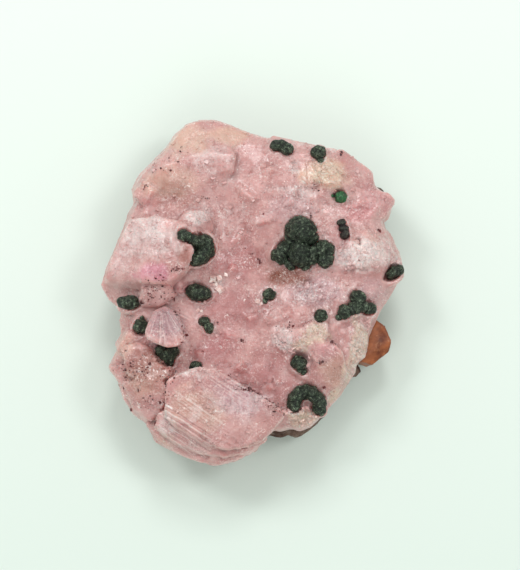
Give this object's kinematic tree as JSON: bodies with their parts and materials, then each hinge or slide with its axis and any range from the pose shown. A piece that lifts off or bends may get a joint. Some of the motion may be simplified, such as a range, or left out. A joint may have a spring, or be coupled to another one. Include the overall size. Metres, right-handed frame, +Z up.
{
  "type": "cobaltoan calcite mineral specimen",
  "caption": "Hand-sized mineral specimen: a crust of pink calcite crystals on brown rock, set with rounded dark green malachite clusters, lying on its rock.",
  "frame": {"origin": "centre of the flat face that the specimen rests on, under the middle of its outline", "axes": "+Z up through the crystals, +Y towards the far, narrower end of the specimen, +X to the right of that"},
  "size_m": [0.0502, 0.0587, 0.0205],
  "materials": {
    "pink_calcite": "translucent pink crystal, sugary to glassy",
    "brown_rock": "dull broken rock",
    "rust_crystal": "iron-stained, half glossy",
    "malachite": "dark green, rounded, fine-grained with a slight sheen"
  },
  "bodies": {
    "root": {"calcite_crust": "pink_calcite", "host_rock": "brown_rock", "iron_stained_crystal": "rust_crystal", "malachite_center": "malachite", "malachite_west_crescent": "malachite", "malachite_south_crescent": "malachite", "malachite_north_crescent": "malachite", "malachite_east_cluster": "malachite", "malachite_oval_bead": "malachite", "malachite_rim_bead": "malachite", "malachite_pointed_bead": "malachite", "malachite_under_fan": "malachite", "malachite_hidden_bead": "malachite", "malachite_small_pair": "malachite", "malachite_tailed_bead": "malachite", "malachite_little_bead": "malachite", "malachite_south_bead": "malachite", "malachite_dark_pair": "malachite", "malachite_bright_bead": "malachite", "malachite_north_bead": "malachite", "malachite_east_rim_bead": "malachite"}
  },
  "joints": []
}
